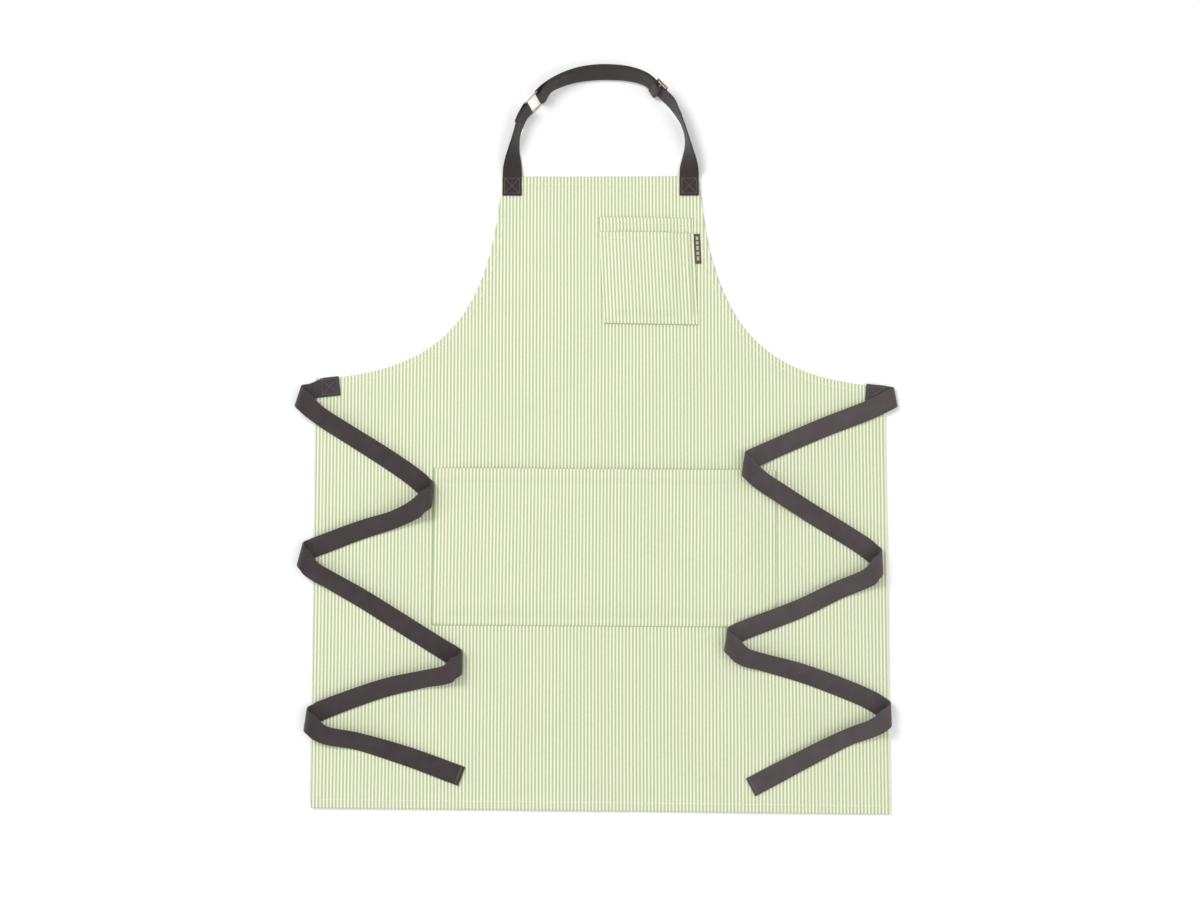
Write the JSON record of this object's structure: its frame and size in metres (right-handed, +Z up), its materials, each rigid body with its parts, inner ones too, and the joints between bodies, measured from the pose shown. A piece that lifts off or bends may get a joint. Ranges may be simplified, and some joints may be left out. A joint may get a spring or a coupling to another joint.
{
  "type": "bib apron",
  "caption": "Striped canvas bib apron laid flat, with an adjustable webbing neck loop on brass hardware, folded waist ties, a layered chest pocket and a wide lap pocket.",
  "frame": {"origin": "centre of the base of the apron as it lies, measured without the waist ties, on the table", "axes": "+Z up from the table, +Y from the skirt's bottom edge towards the bib and the neck loop, +X to the side that the chest pocket is on"},
  "size_m": [0.7926, 0.9814, 0.0332],
  "materials": {
    "canvas": "striped cotton canvas",
    "webbing": "dark cotton webbing",
    "brass": "aged brass",
    "thread_dark": "dark thread",
    "thread_cream": "cream thread",
    "label_cloth": "woven label"
  },
  "bodies": {
    "apron": {"body_panel": "canvas", "bottom_hem": "canvas", "top_hem": "canvas", "side_hem_left": "canvas", "side_hem_right": "canvas", "armhole_facing_left": "canvas", "armhole_facing_right": "canvas", "chest_pocket_rear": "canvas", "chest_pocket_front": "canvas", "lap_pocket": "canvas", "neck_end_left": "webbing", "neck_end_right": "webbing", "waist_end_left": "webbing", "waist_end_right": "webbing", "tie_left_start": "webbing", "tie_right_start": "webbing", "neck_end_left_stitching": "thread_dark", "neck_end_right_stitching": "thread_dark", "waist_end_left_stitching": "thread_dark", "waist_end_right_stitching": "thread_dark", "bottom_hem_thread": "thread_cream", "top_hem_thread": "thread_cream", "side_hem_thread_left": "thread_cream", "side_hem_thread_right": "thread_cream", "armhole_thread_left": "thread_cream", "armhole_thread_right": "thread_cream", "chest_pocket_seam_thread": "thread_cream", "chest_rear_hem_thread": "thread_cream", "chest_front_hem_thread": "thread_cream", "pen_slot_thread": "thread_cream", "lap_pocket_seam_thread": "thread_cream", "lap_pocket_hem_thread": "thread_cream"},
    "neck_loop": {"neck_strap_short": "webbing", "neck_strap_long": "webbing", "short_strap_bar_tack": "thread_dark"},
    "ring": {"strap_ring": "brass"},
    "slider_unit": {"slider": "brass", "slider_end_loop": "webbing", "slider_loop_bar_tack": "thread_dark"},
    "left_tie": {"tie_left": "webbing", "tie_left_end_stitching": "thread_dark"},
    "right_tie": {"tie_right": "webbing", "tie_right_end_stitching": "thread_dark"},
    "label": {"pocket_label": "label_cloth"}
  },
  "joints": [
    {"name": "neck_loop_fold", "type": "hinge", "parent": "apron", "child": "neck_loop", "pos_m": [-0.00113, 0.34477, 0.0041], "axis": [1, 0, 0], "range_deg": [0, 130]},
    {"name": "ring_swing", "type": "hinge", "parent": "neck_loop", "child": "ring", "pos_m": [-0.0968, 0.43288, 0.0154], "axis": [-0.2334, 0.2269, 0.9455], "range_deg": [-4, 4]},
    {"name": "slider_travel", "type": "slide", "parent": "neck_loop", "child": "slider_unit", "axis": [0.6996, -0.7146, 0], "range_m": [0, 0.008]},
    {"name": "tie_left_fold", "type": "hinge", "parent": "apron", "child": "left_tie", "pos_m": [-0.39663, 0.05057, 0.0124], "axis": [-0.3023, -0.9532, 0], "range_deg": [0, 130]},
    {"name": "tie_right_fold", "type": "hinge", "parent": "apron", "child": "right_tie", "pos_m": [0.38537, 0.04897, 0.0146], "axis": [-0.1743, 0.9847, 0], "range_deg": [0, 180]},
    {"name": "label_flap", "type": "hinge", "parent": "apron", "child": "label", "pos_m": [0.12181, 0.26631, 0.00335], "axis": [0.0454, -0.999, 0], "range_deg": [0, 120]}
  ]
}
